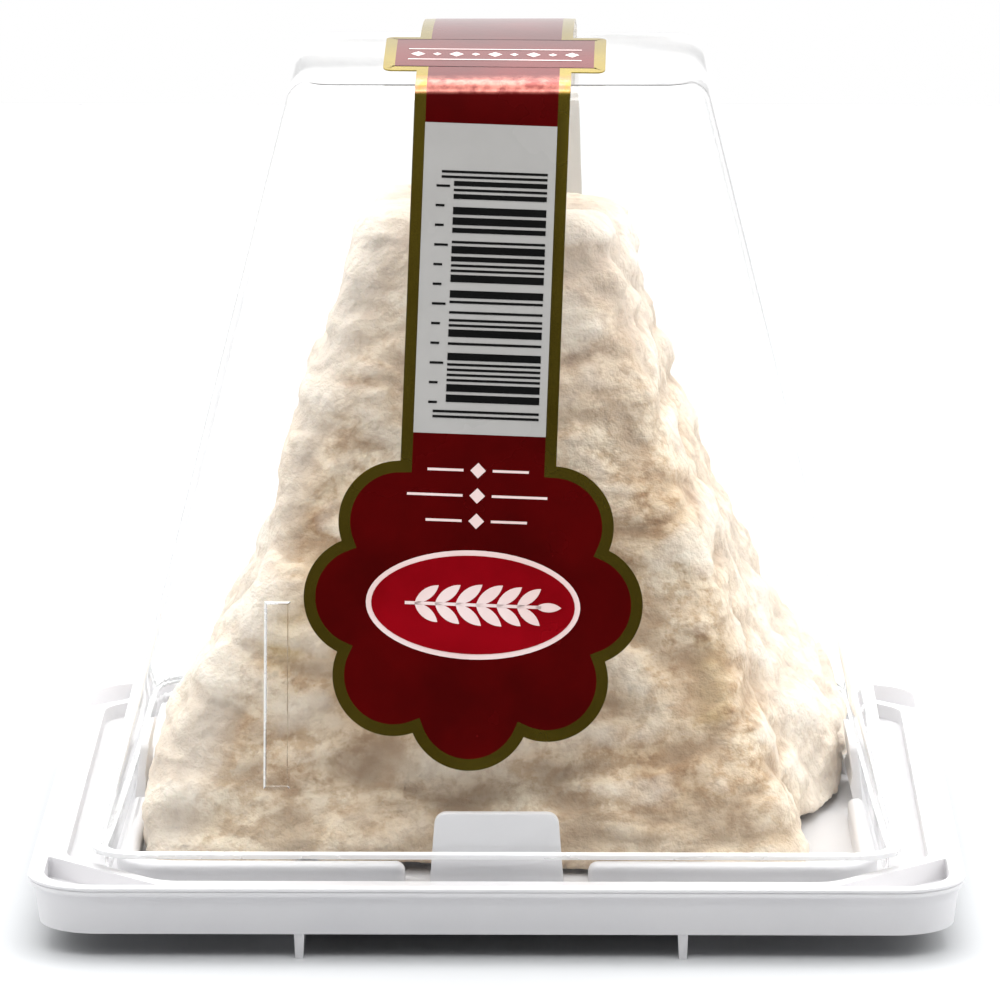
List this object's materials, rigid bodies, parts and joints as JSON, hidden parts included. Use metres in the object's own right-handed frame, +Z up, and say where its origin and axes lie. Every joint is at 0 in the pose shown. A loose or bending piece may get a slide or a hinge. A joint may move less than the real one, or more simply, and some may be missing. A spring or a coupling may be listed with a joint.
{
  "type": "goat cheese pyramid in a clear retail pack",
  "caption": "Truncated pyramid of rinded goat cheese on a white moulded tray, under a clear tapered hood with a scalloped strap label.",
  "frame": {"origin": "middle of the tray's outline, at the bottom of its two rails", "axes": "+Z up, -Y towards the rosette on the front of the hood, +X to the viewer's right when facing the label"},
  "size_m": [0.096, 0.096, 0.0896],
  "materials": {
    "tray_plastic": "white moulded plastic, satin",
    "clear_plastic": "thin clear formed plastic, glossy",
    "rind": null,
    "label_print": "coated label, dark red field with an olive border and a pale panel of bars"
  },
  "bodies": {
    "root": {"tray": "tray_plastic", "hood": "clear_plastic", "cheese": "rind", "label": "label_print"}
  },
  "joints": []
}
